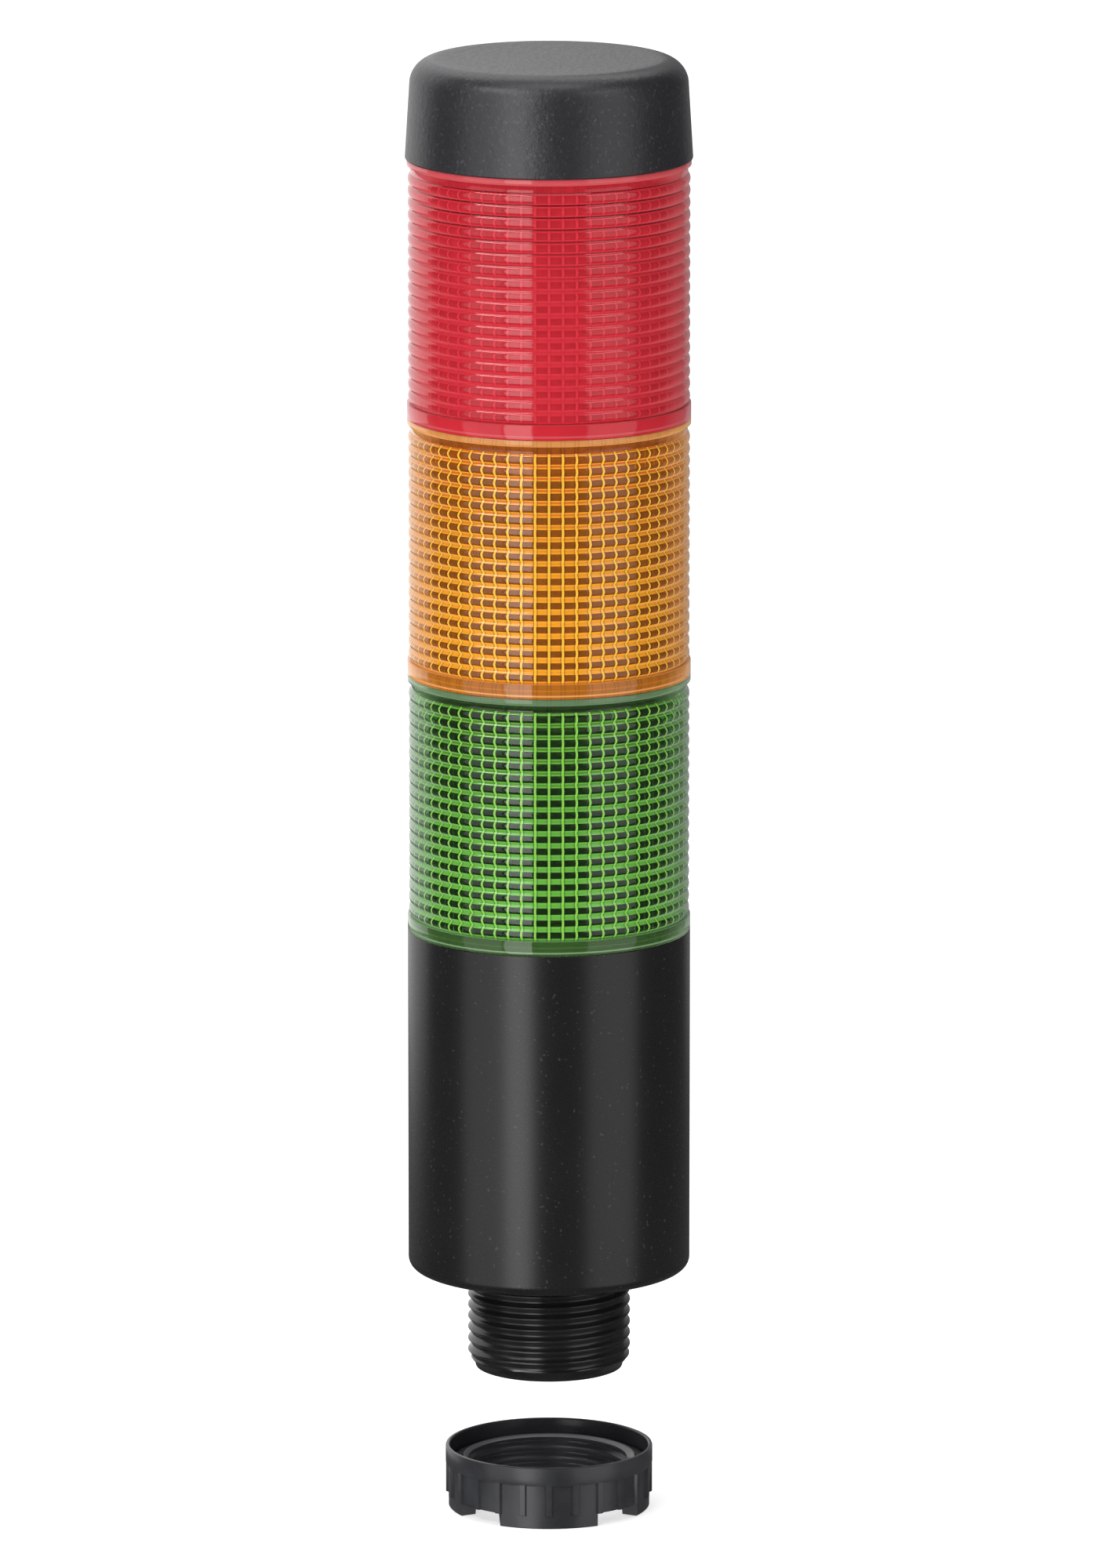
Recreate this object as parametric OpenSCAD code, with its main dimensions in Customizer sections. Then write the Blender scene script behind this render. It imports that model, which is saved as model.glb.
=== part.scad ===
// Slim three-tier signal tower light with a threaded stem and its ring nut.
// Millimetres, +Z up. The origin is on the axis, in the face that rests on the panel.
// The body and three lens tiers stack upward, the stem points down and the nut hangs below it.

/* [Body] */

// Outside diameter of the base and of the lens lips
body_d = 37; // [25:0.5:80]
// Height of the base from the panel face to the first lens
base_h = 45.6; // [36:0.1:90]
// Height of one lens tier
lens_h = 34; // [26:0.5:60]
// Height of the cap
cap_h = 13; // [9:0.5:25]
// Wall from the outside diameter to the bore that takes a spigot
wall = 1.9; // [1.6:0.1:3]
// Rounding at the foot of the base
foot_round = 1.4; // [0.4:0.1:2.5]
// Floor of the base
floor_t = 3; // [2:0.5:5]
// How much wider the foot of the cap is than the body
cap_flare = 0.2; // [0:0.05:0.6]
// How much narrower the cap is below its shoulder than at its foot
cap_taper = 1.2; // [0:0.1:3]
// Shoulder radius of the cap
cap_round = 3.3; // [1:0.1:4]
// Wall of the cap
cap_wall = 2; // [1.2:0.1:3]

/* [Lens] */

// Horizontal ribs on each lens
rib_count = 19; // [8:1:30]
// Height of each rib crest over its valleys
rib_depth = 0.34; // [0.1:0.02:0.6]
// How far the rib crests lie inside the lip, on radius
rib_inset = 0.15; // [0:0.05:0.5]
// Lip at the top of each lens
lip_h = 0.85; // [0.5:0.05:2]
// Groove under the lip
neck_h = 1; // [0.5:0.1:2]
// Depth of the groove under the lip
neck_depth = 0.45; // [0.2:0.05:0.7]
// Smooth band at the foot of each lens
band_h = 2; // [1:0.1:4]
// Vertical flutes inside each lens
flute_count = 64; // [24:4:96]
// Depth of each flute
flute_depth = 0.3; // [0.1:0.05:0.4]

/* [Bayonet] */

// Length of each spigot
spigot_h = 4.7; // [3.5:0.1:8]
// Wall of each spigot
spigot_wall = 1.1; // [0.8:0.1:2]
// Clearance on radius between a spigot and the bore it enters
spigot_gap = 0.3; // [0.15:0.05:0.6]
// Lugs on each spigot
lug_count = 3; // [2:1:4]
// Width of each lug, in degrees
lug_deg = 9; // [5:1:20]
// Height of each lug
lug_h = 1.5; // [1:0.1:2.5]
// How far each lug reaches into its slot past the bore
lug_reach = 0.5; // [0.3:0.05:0.8]
// Turn from locked to free, in degrees
twist_deg = 15; // [8:1:30]
// Clearance all round a lug
lug_gap = 0.2; // [0.1:0.05:0.5]
// Direction of the first free slot, in degrees from +X
slot_deg = -66.4; // [-180:0.2:180]

/* [Seals] */

// Thickness of the flat ring between two tiers
seal_h = 0.7; // [0.4:0.1:1.5]
// Width of the flat ring between two tiers
seal_w = 0.6; // [0.6:0.05:1.2]
// Clearance left round a seal on its moving side
seal_gap = 0.05; // [0.02:0.01:0.2]
// Inside radius of the panel seal
panel_seal_r = 12.4; // [11.5:0.1:14]
// Width of the panel seal
panel_seal_w = 2.4; // [1:0.1:4]
// Depth of the panel seal
panel_seal_h = 1; // [0.5:0.1:2]

/* [Stem and nut] */

// Thread outside diameter, M22 x 1.5 with rounded crests
thread_d = 21.4; // [16:0.1:30]
// Bore through the stem for the cable
inlet_d = 14.5; // [8:0.5:18]
// Length of the stem below the panel face
stem_h = 13.5; // [10:0.1:30]
// Relief between the thread and the panel face
relief_h = 0.8; // [0.4:0.1:2]
// Depth of that relief on radius
relief_depth = 0.8; // [0.3:0.1:1.5]
// Length of the lead at the end of the thread
lead_h = 1.25; // [0.5:0.05:3]
// Plain pilot under the lead
pilot_h = 0.5; // [0.3:0.1:3]
// Depth of the lead on radius
lead_depth = 1; // [0.5:0.1:2]
// Radius of the flange inside the base
flange_r = 13.6; // [12:0.1:15]
// Thickness of that flange
flange_t = 1.8; // [1:0.1:3]
// Outside diameter of the nut
nut_d = 27.3; // [22:0.1:40]
// Height of the nut with its lugs
nut_h = 8.3; // [6:0.1:16]
// Smooth collar at the top of the nut
collar_h = 2.4; // [1:0.1:4]
// Height of the wrench lugs under the nut
wrench_h = 1.7; // [1:0.1:3]
// Wrench lugs round the nut
wrench_count = 4; // [3:1:6]
// Width of each notch between the lugs, in degrees
notch_deg = 32; // [16:1:50]
// Grip ribs round the nut
grip_count = 24; // [12:1:36]
// Width of each grip rib
grip_w = 0.9; // [0.4:0.1:2]
// Depth of the flats between the grip ribs
grip_depth = 0.4; // [0.2:0.05:0.8]
// Rim wall round the top of the nut
rim_wall = 0.55; // [0.4:0.05:1.5]
// Depth of the groove inside the rim
cup_depth = 3.6; // [2:0.1:5]
// How far the threaded core stands below the rim
core_drop = 1.6; // [0.5:0.1:3]
// Clearance on radius between the nut and the thread
nut_gap = 0.08; // [0.04:0.01:0.1]
// Wall of the threaded core
core_wall = 0.62; // [0.5:0.02:1.5]
// Top of the nut below the panel face, as it hangs
nut_drop = 24.2; // [16:0.1:60]
// Thickness of the ring held in the nut
grip_ring_h = 1.4; // [0.8:0.1:2.5]
// Clearance round that ring
grip_ring_gap = 0.2; // [0.1:0.05:0.4]

/* [Inside] */

// Half of the width over the rails of the frame
frame_r = 14.8; // [12:0.1:15]
// Thickness of each rail, along X
rail_t = 2.4; // [1.6:0.1:4]
// Depth of each rail, along Y
rail_w = 4; // [3:0.1:6]
// Thickness of the circuit board
board_t = 1.6; // [1:0.1:2.4]
// How deep the board sits in each rail
board_bite = 1.2; // [0.6:0.1:2]
// Clearance between the board and its rails
board_gap = 0.1; // [0.05:0.05:0.3]
// Thickness of each light divider
divider_t = 1.2; // [0.8:0.1:2]
// Lamps across one face of the board in a tier
lamp_cols = 3; // [1:1:4]
// Lamps up one face of the board in a tier
lamp_rows = 4; // [1:1:6]
// Width of one lamp
lamp_w = 3.5; // [2:0.1:5]
// Height of one lamp off the board
lamp_h = 1.9; // [0.8:0.1:3]
// Ways in the terminal block
ways = 4; // [2:1:5]
// Spacing of the ways
way_pitch = 5; // [3.5:0.1:5.5]

/* [Hidden] */

$fn = 96;
// Small overlap that joins solids and clears cuts
e = 0.01;
body_r = body_d / 2;
bore_r = body_r - wall;
spigot_r = bore_r - spigot_gap;
spigot_in = spigot_r - spigot_wall;
seat_r = spigot_r + seal_gap + seal_w + seal_gap;
lug_r = bore_r + lug_reach;
slot_r = lug_r + lug_gap;
lug_low = spigot_h - 0.4;
z_green = base_h;
z_amber = base_h + lens_h;
z_red = base_h + 2 * lens_h;
z_cap = base_h + 3 * lens_h;
thread_r = thread_d / 2;
inlet_r = inlet_d / 2;
flange_z = floor_t + flange_t;
nut_bore_r = thread_r + nut_gap;
core_r = nut_bore_r + core_wall;
nut_r = max(nut_d / 2, core_r + 2.25);
nut_top = -nut_drop;
nut_low = nut_top - nut_h;
cup_r = nut_r - rim_wall;
skirt_r = nut_r - grip_depth;
crest_r = body_r - rib_inset;
rib_pitch = (lens_h - lip_h - neck_h - band_h) / rib_count;
rib_r = (pow(rib_pitch / 2, 2) + pow(rib_depth, 2)) / (2 * rib_depth);
valley_r = crest_r - rib_depth;
flute_in = bore_r;
flute_r = 1.1;
frame_out = min(frame_r, spigot_in - 0.4);
rail_in = frame_out - rail_t;
board_half = rail_in + board_bite;
frame_low = flange_z;
frame_top = z_cap + 2;
board_low = flange_z + 6;
board_top = frame_top - 3;
foot_h = 3;
foot_in = inlet_r + 1.2;
lamp_face = board_t / 2;
lamp_pitch_x = 6.4;
lamp_pitch_z = (lens_h - 8) / lamp_rows;
block_w = ways * way_pitch;
block_d = 8;
block_h = 10;
block_z = board_low + 0.6;
chip_z = block_z + block_h + 3;
screw_r = thread_r - relief_depth + 1.8;
flange_out = max(flange_r, screw_r + 1.9);

// A ring of square section between two radii
module ring(r_out, r_in, z0, h) {
  translate([0, 0, z0])
    linear_extrude(h)
      difference() {
        circle(r_out);
        circle(r_in);
      }
}

// Part of a ring, centred on one direction
module sector(r_out, r_in, z0, h, middle, wide) {
  translate([0, 0, z0])
    rotate([0, 0, middle - wide / 2])
      rotate_extrude(angle = wide)
        translate([r_in, 0])
          square([r_out - r_in, h]);
}

// Direction of the free slots in the socket below each seam; the green tier's own is turned
function slot_at(tier) = slot_deg + (tier == 1 ? 0 : 36.4);

// Spigot under a seam, with its lugs in the locked place
module spigot(z0, tier) {
  ring(spigot_r, spigot_in, z0 - spigot_h, spigot_h + e);
  for (i = [0:lug_count - 1])
    sector(lug_r, spigot_r - 0.4, z0 - lug_low, lug_h,
      slot_at(tier) - twist_deg + i * 360 / lug_count, lug_deg);
}

// L-shaped slots cut into the socket below a seam: a way in from the top, then a run round
module slots(z0, tier) {
  run_deg = lug_deg + twist_deg + 3;
  for (i = [0:lug_count - 1]) {
    middle = slot_at(tier) + i * 360 / lug_count;
    sector(slot_r, bore_r - 0.4, z0 - lug_low - lug_gap, lug_h + 2 * lug_gap,
      middle - twist_deg / 2, run_deg);
    sector(slot_r - lug_gap / 2, bore_r - 0.4, z0 - lug_low, lug_low + 1,
      middle, lug_deg + 2);
  }
}

// Seat for the flat ring at the top of a socket
module seal_seat(z0) {
  ring(seat_r, bore_r - 0.5, z0 - seal_h, seal_h + 1);
}

module tier_seal(z0) {
  ring(seat_r - seal_gap, spigot_r + seal_gap, z0 - seal_h + seal_gap, seal_h - seal_gap);
}

module cap() {
  foot_r = body_r + cap_flare;
  top_r = foot_r - cap_taper / 2;
  inside_h = cap_h - cap_wall;
  color("#2b2a2e")
    difference() {
      union() {
        translate([0, 0, z_cap])
          rotate_extrude()
            union() {
              polygon([[0, 0], [foot_r, 0], [top_r, cap_h - cap_round], [0, cap_h - cap_round]]);
              translate([top_r - cap_round, cap_h - cap_round])
                intersection() {
                  circle(cap_round);
                  square(cap_round);
                }
              translate([0, cap_h - cap_round - e])
                square([top_r - cap_round + e, cap_round + e]);
            }
        spigot(z_cap, 3);
      }
      translate([0, 0, z_cap - e])
        cylinder(r = spigot_in, h = inside_h + e);
    }
}

module cap_seal() {
  color("#1a1a1a")
    tier_seal(z_cap);
}

// One lens tier: ribbed outside, fluted inside, socket above, spigot below
module lens(z0, tier) {
  top = z0 + lens_h;
  socket_z = top - spigot_h - 0.6;
  floor_z = z0 + 1.4;
  difference() {
    union() {
      translate([0, 0, z0])
        rotate_extrude()
          union() {
            square([body_r, band_h]);
            translate([0, band_h - e])
              square([valley_r + e, lens_h - band_h - lip_h]);
            intersection() {
              translate([valley_r - 0.3, band_h])
                square([1.5, rib_count * rib_pitch]);
              union()
                for (i = [0:rib_count - 1])
                  translate([crest_r - rib_r, band_h + (i + 0.5) * rib_pitch])
                    circle(rib_r);
            }
            translate([0, lens_h - lip_h - neck_h])
              square([body_r - neck_depth, neck_h + e]);
            translate([0, lens_h - lip_h])
              square([body_r, lip_h]);
          }
      spigot(z0, tier);
    }
    translate([0, 0, z0 - e])
      cylinder(r = spigot_in, h = 3);
    translate([0, 0, floor_z])
      linear_extrude(socket_z - floor_z + e)
        union() {
          circle(flute_in - 0.05);
          for (i = [0:flute_count - 1])
            rotate([0, 0, i * 360 / flute_count])
              translate([flute_in + flute_depth - flute_r, 0])
                circle(flute_r);
        }
    translate([0, 0, socket_z])
      cylinder(r = bore_r, h = top - socket_z + 1);
    slots(top, tier + 1);
    seal_seat(top);
  }
}

module lens_red() {
  color("#c8323c", 0.6)
    lens(z_red, 2);
}

module seal_red() {
  color("#1a1a1a")
    tier_seal(z_red);
}

module lens_amber() {
  color("#e1901e", 0.6)
    lens(z_amber, 1);
}

module seal_amber() {
  color("#1a1a1a")
    tier_seal(z_amber);
}

module lens_green() {
  color("#4ba532", 0.6)
    lens(z_green, 0);
}

module seal_green() {
  color("#1a1a1a")
    tier_seal(z_green);
}

module base_tube() {
  color("#232224")
    difference() {
      rotate_extrude()
        union() {
          square([body_r - foot_round, base_h]);
          translate([0, foot_round])
            square([body_r, base_h - foot_round]);
          translate([body_r - foot_round, foot_round])
            circle(foot_round);
        }
      translate([0, 0, floor_t])
        cylinder(r = bore_r, h = base_h);
      translate([0, 0, -1])
        cylinder(r = thread_r - relief_depth + 0.05, h = floor_t + 2);
      ring(panel_seal_r + panel_seal_w, panel_seal_r, -1, 1 + panel_seal_h);
      slots(base_h, 0);
      seal_seat(base_h);
      for (i = [0:2])
        rotate([0, 0, i * 120])
          translate([screw_r, 0, panel_seal_h + 0.4])
            cylinder(r = 0.9, h = floor_t, $fn = 24);
    }
}

module stem() {
  color("#1c1b1d")
    difference() {
      rotate_extrude()
        polygon([
          [0, -stem_h],
          [thread_r - lead_depth, -stem_h],
          [thread_r - lead_depth, -stem_h + pilot_h],
          [thread_r, -stem_h + pilot_h + lead_h],
          [thread_r, -relief_h],
          [thread_r - relief_depth, -relief_h],
          [thread_r - relief_depth, floor_t],
          [flange_out, floor_t],
          [flange_out, flange_z],
          [0, flange_z]
        ]);
      translate([0, 0, -stem_h - 1])
        cylinder(r = inlet_r, h = stem_h + flange_z + 2);
      for (i = [0:2])
        rotate([0, 0, i * 120])
          translate([screw_r, 0, floor_t - 1])
            cylinder(r = 1.1, h = flange_t + 2, $fn = 24);
      for (s = [-1, 1])
        translate([0, s * screw_r, floor_t - 1])
          cylinder(r = 0.85, h = flange_t + 2, $fn = 24);
    }
}

// Pan-head screw with a cross recess, head down to z0
module pan_screw(r_shank, r_head, h_head, z0, length) {
  difference() {
    union() {
      translate([0, 0, z0 - length])
        cylinder(r = r_shank, h = length + e, $fn = 24);
      translate([0, 0, z0])
        cylinder(r = r_head, h = h_head, $fn = 24);
    }
    for (a = [0, 90])
      rotate([0, 0, a])
        translate([-r_head * 0.6, -0.18, z0 + h_head * 0.45])
          cube([r_head * 1.2, 0.36, h_head]);
  }
}

module stem_screws() {
  color("#b9bcc0")
    for (i = [0:2])
      rotate([0, 0, i * 120])
        translate([screw_r, 0, 0])
          pan_screw(0.88, 1.7, 1.1, flange_z, flange_z - panel_seal_h - 0.5);
}

module panel_seal() {
  color("#171717")
    ring(panel_seal_r + panel_seal_w - 0.05, panel_seal_r + 0.05, 0, panel_seal_h);
}

module ring_nut() {
  groove_low = nut_top - cup_depth;
  body_low = nut_low + wrench_h;
  color("#3a3b40")
    difference() {
      union() {
        translate([0, 0, nut_top - collar_h])
          cylinder(r = nut_r, h = collar_h);
        translate([0, 0, body_low])
          cylinder(r = skirt_r, h = nut_h - wrench_h - collar_h + e);
        for (i = [0:grip_count - 1])
          rotate([0, 0, -90 + i * 360 / grip_count])
            translate([skirt_r - 0.5, -grip_w / 2, body_low])
              cube([0.5 + grip_depth - 0.02, grip_w, nut_top - collar_h - body_low + e]);
        for (i = [0:wrench_count - 1])
          sector(skirt_r, core_r, nut_low, wrench_h + e,
            -90 + i * 360 / wrench_count, 360 / wrench_count - notch_deg);
      }
      translate([0, 0, nut_low - 1])
        cylinder(r = nut_bore_r, h = nut_h + 2);
      ring(cup_r, core_r, groove_low, cup_depth + 1);
      translate([0, 0, nut_top - core_drop])
        cylinder(r = core_r + 0.1, h = core_drop + 1);
    }
}

module nut_grip_ring() {
  low = nut_top - cup_depth + seal_gap;
  color("#141414")
    ring(cup_r - grip_ring_gap, core_r + grip_ring_gap, low, grip_ring_h);
}

// Frame that carries the board: foot, two grooved rails and the light dividers
module board_frame() {
  color("#1e1e20")
    difference() {
      union() {
        ring(frame_out, foot_in, frame_low, foot_h);
        intersection() {
          translate([0, 0, frame_low])
            cylinder(r = frame_out, h = frame_top - frame_low);
          for (s = [-1, 1])
            translate([s > 0 ? rail_in : -frame_out, -rail_w / 2, frame_low])
              cube([rail_t, rail_w, frame_top - frame_low]);
        }
        for (z = [z_green, z_amber, z_red])
          translate([0, 0, z - divider_t / 2])
            cylinder(r = frame_out, h = divider_t);
        ring(frame_out, frame_out - 2.2, frame_top - 2, 2);
      }
      translate([-board_half - board_gap, -board_t / 2 - board_gap, board_low - board_gap])
        cube([2 * (board_half + board_gap), board_t + 2 * board_gap, frame_top]);
      for (s = [-1, 1])
        translate([0, s * screw_r, frame_low - 1])
          cylinder(r = 1.2, h = foot_h + 2, $fn = 24);
      for (i = [0:2])
        rotate([0, 0, i * 120])
          translate([screw_r, 0, frame_low - 1])
            cylinder(r = 2, h = 1 + 1.4, $fn = 24);
    }
}

module frame_screws() {
  color("#b9bcc0")
    for (s = [-1, 1])
      translate([0, s * screw_r, 0])
        pan_screw(0.84, 1.9, 1.2, frame_low + foot_h, foot_h + flange_t - 0.2);
}

module frame_cushion() {
  color("#202020")
    ring(frame_out - 0.4, frame_out - 2, frame_top, 1.6);
}

module main_board() {
  color("#16261c")
    difference() {
      translate([-board_half, -board_t / 2, board_low])
        cube([2 * board_half, board_t, board_top - board_low]);
      for (z = [z_green, z_amber, z_red])
        for (s = [-1, 1])
          translate([s * 9.5, board_t, z + 3])
            rotate([90, 0, 0])
              cylinder(r = 0.8, h = 2 * board_t, $fn = 24);
    }
}

// Surface-mount lamps on both faces of the board within one tier
module lamps(z0) {
  for (face = [0, 180])
    rotate([0, 0, face])
      for (i = [0:lamp_cols - 1])
        for (j = [0:lamp_rows - 1])
          translate([
            (i - (lamp_cols - 1) / 2) * lamp_pitch_x,
            -lamp_face,
            z0 + lens_h / 2 + (j - (lamp_rows - 1) / 2) * lamp_pitch_z
          ]) {
            translate([-lamp_w / 2, -lamp_h + 0.4, -lamp_w * 0.4])
              cube([lamp_w, lamp_h - 0.4, lamp_w * 0.8]);
            rotate([90, 0, 0])
              cylinder(r = lamp_w * 0.34, h = lamp_h, $fn = 32);
          }
}

module leds_red() {
  color("#e8e2d0")
    lamps(z_red);
}

module leds_amber() {
  color("#e8e2d0")
    lamps(z_amber);
}

module leds_green() {
  color("#e8e2d0")
    lamps(z_green);
}

module terminal_block() {
  color("#3d6b45")
    difference() {
      translate([-block_w / 2, -board_t / 2 - block_d, block_z])
        cube([block_w, block_d, block_h]);
      for (i = [0:ways - 1]) {
        x = (i - (ways - 1) / 2) * way_pitch;
        translate([x - 1.7, -board_t / 2 - block_d + 1.4, block_z - 1])
          cube([3.4, 4.6, 6.5]);
        translate([x, -board_t / 2 - 2.6, block_z + block_h / 2 + 1.6])
          rotate([90, 0, 0])
            cylinder(r = 1.75, h = block_d, $fn = 32);
      }
    }
}

module wire_cages() {
  color("#c8b26a")
    for (i = [0:ways - 1])
      translate([(i - (ways - 1) / 2) * way_pitch, -board_t / 2 - block_d + 3.7, block_z + 0.8])
        difference() {
          translate([-1.6, -2.2, 0])
            cube([3.2, 4.4, 4.1]);
          translate([-1.2, -1.6, -1])
            cube([2.4, 3.2, 6]);
        }
}

module terminal_screws() {
  color("#b9bcc0")
    for (i = [0:ways - 1])
      translate([
        (i - (ways - 1) / 2) * way_pitch,
        -board_t / 2 - block_d + 1.2,
        block_z + block_h / 2 + 1.6
      ])
        rotate([90, 0, 0])
          difference() {
            translate([0, 0, -4])
              cylinder(r = 1.65, h = 4.6, $fn = 32);
            translate([-1.3, -0.25, 0.1])
              cube([2.6, 0.5, 1]);
          }
}

module rectifier() {
  color("#1b1b1b")
    translate([-9.6, -board_t / 2 - 2.4, chip_z])
      cube([6.2, 2.4, 6.2]);
}

module driver_chips() {
  color("#1b1b1b")
    for (i = [0:2])
      translate([-4.6 + i * 5.5, board_t / 2, chip_z])
        cube([3.9, 1.5, 4.9]);
}

module capacitors() {
  color("#6f7378")
    for (i = [0:1])
      translate([0.2 + i * 7, -board_t / 2 - 3.2, chip_z - 0.4])
        cylinder(r = 3.1, h = 7.4);
}

module resistors() {
  color("#222222")
    for (i = [0:5])
      translate([-9.6 + i * 3.2, board_t / 2, chip_z + 7.6])
        cube([1.6, 0.6, 3.2]);
}

module fuse() {
  color("#d7d2c4")
    translate([-10.8, board_t / 2, chip_z - 8])
      cube([2.7, 2.6, 6]);
}

cap();
cap_seal();
lens_red();
seal_red();
lens_amber();
seal_amber();
lens_green();
seal_green();
base_tube();
stem();
stem_screws();
panel_seal();
ring_nut();
nut_grip_ring();
board_frame();
frame_screws();
frame_cushion();
main_board();
leds_red();
leds_amber();
leds_green();
terminal_block();
terminal_screws();
wire_cages();
rectifier();
driver_chips();
capacitors();
resistors();
fuse();
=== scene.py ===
"""Looks of a slim three-tier signal tower light, laid out as an add-on and run as a script."""

import math

import bpy
import numpy as np
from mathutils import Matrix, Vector


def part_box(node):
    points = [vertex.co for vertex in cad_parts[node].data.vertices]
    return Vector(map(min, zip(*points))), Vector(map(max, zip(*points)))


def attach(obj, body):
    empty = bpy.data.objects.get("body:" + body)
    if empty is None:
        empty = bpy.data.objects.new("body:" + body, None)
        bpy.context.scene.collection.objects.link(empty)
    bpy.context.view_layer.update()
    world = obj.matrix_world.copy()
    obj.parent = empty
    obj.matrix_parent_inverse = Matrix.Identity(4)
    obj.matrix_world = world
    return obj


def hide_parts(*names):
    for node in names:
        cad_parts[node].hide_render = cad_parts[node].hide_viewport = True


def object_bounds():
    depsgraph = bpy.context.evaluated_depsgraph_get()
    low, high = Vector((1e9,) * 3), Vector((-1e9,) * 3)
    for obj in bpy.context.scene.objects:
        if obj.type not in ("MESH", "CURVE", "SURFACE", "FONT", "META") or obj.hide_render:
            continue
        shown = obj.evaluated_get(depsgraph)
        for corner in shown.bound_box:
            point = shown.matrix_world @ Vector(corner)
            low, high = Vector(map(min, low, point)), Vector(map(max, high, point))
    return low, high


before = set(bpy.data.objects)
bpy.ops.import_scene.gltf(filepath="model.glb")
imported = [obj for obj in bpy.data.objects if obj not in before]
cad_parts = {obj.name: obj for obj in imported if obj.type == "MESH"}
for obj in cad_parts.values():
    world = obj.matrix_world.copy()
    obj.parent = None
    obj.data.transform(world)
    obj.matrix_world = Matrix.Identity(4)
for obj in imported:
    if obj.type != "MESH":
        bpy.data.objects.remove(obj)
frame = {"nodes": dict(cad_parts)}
CAD_BOX = [list(corner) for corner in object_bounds()]

bl_info = {
    "name": "Signal Tower",
    "version": (1, 0, 0),
    "blender": (4, 5, 0),
    "location": "View3D > Sidebar > Signal Tower",
    "description": "Builds a slim three-tier signal tower light round its packed frame",
    "category": "Object",
}

MM = 0.001
TAU = 2 * math.pi


def node_box(node):
    """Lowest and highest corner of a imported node, in millimetres."""
    low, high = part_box(node)
    return np.array(low) / MM, np.array(high) / MM


def top_of(node):
    return float(node_box(node)[1][2])


def foot_of(node):
    return float(node_box(node)[0][2])


def radius_of(node):
    low, high = node_box(node)
    return float(high[0] - low[0]) / 2


TIERS = ("green", "amber", "red")
BODY_R = radius_of("base_tube")
BASE_TOP = top_of("base_tube")
TIER_H = (top_of("lens_red") - BASE_TOP) / len(TIERS)
CAP_Z = BASE_TOP + len(TIERS) * TIER_H
CAP_TOP = top_of("cap")
CAP_R = radius_of("cap")
SPIGOT_H = BASE_TOP - foot_of("lens_green")
STEM_LOW = foot_of("stem")
STEM_TOP = top_of("stem")
NUT_TOP = top_of("ring_nut")
NUT_LOW = foot_of("ring_nut")
NUT_R = radius_of("ring_nut")


# ---------------------------------------------------------------- settings


def length_mm(name, default, description, low=0.0, high=1000.0):
    return bpy.props.FloatProperty(
        name=name, default=default, description=description, min=low, max=high, precision=3
    )


def colour(name, default, description):
    return bpy.props.FloatVectorProperty(
        name=name, default=default, description=description, subtype="COLOR",
        size=3, min=0.0, max=1.0,
    )


class TowerSizes(bpy.types.PropertyGroup):
    """Sizes of the drawn detail, in millimetres"""

    bore_r: length_mm("Bore radius", 16.6, "Radius inside a tier where the next spigot goes")
    spigot_r: length_mm("Spigot radius", 16.3, "Outside radius of a spigot")
    spigot_in: length_mm("Spigot inside", 15.2, "Inside radius of a spigot")
    rib_count: bpy.props.IntProperty(name="Ribs", default=19, description="Ribs on a lens")
    rib_depth: length_mm("Rib depth", 0.34, "Height of a rib over its valleys")
    rib_inset: length_mm("Rib inset", 0.15, "How far rib crests lie inside the lip")
    lip_h: length_mm("Lip", 0.85, "Height of the lip at the top of a lens")
    neck_h: length_mm("Neck", 1.0, "Height of the groove under the lip")
    neck_depth: length_mm("Neck depth", 0.45, "Depth of the groove under the lip")
    band_h: length_mm("Band", 2.0, "Height of the plain band at the foot of a lens")
    flute_count: bpy.props.IntProperty(
        name="Flutes", default=64, description="Upright flutes inside a lens"
    )
    flute_depth: length_mm("Flute depth", 0.3, "Depth of a flute")
    thread_r: length_mm("Thread radius", 10.7, "Crest radius of the stem thread")
    thread_pitch: length_mm("Thread pitch", 1.5, "Distance between two thread turns")
    thread_depth: length_mm("Thread depth", 0.55, "Depth of the stem thread")
    inlet_r: length_mm("Inlet radius", 7.25, "Radius of the cable bore")
    foot_round: length_mm("Foot rounding", 1.4, "Rounding at the foot of the base")
    cap_round: length_mm("Cap rounding", 3.3, "Shoulder radius of the cap")
    cap_taper: length_mm("Cap taper", 0.6, "How much the cap narrows on radius")
    grip_count: bpy.props.IntProperty(name="Grip ribs", default=24, description="Ribs on the nut")
    grip_depth: length_mm("Grip depth", 0.4, "Depth of the flats between the grip ribs")
    collar_h: length_mm("Collar", 2.4, "Smooth collar at the top of the nut")
    wrench_h: length_mm("Wrench lugs", 1.7, "Height of the lugs under the nut")


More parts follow.
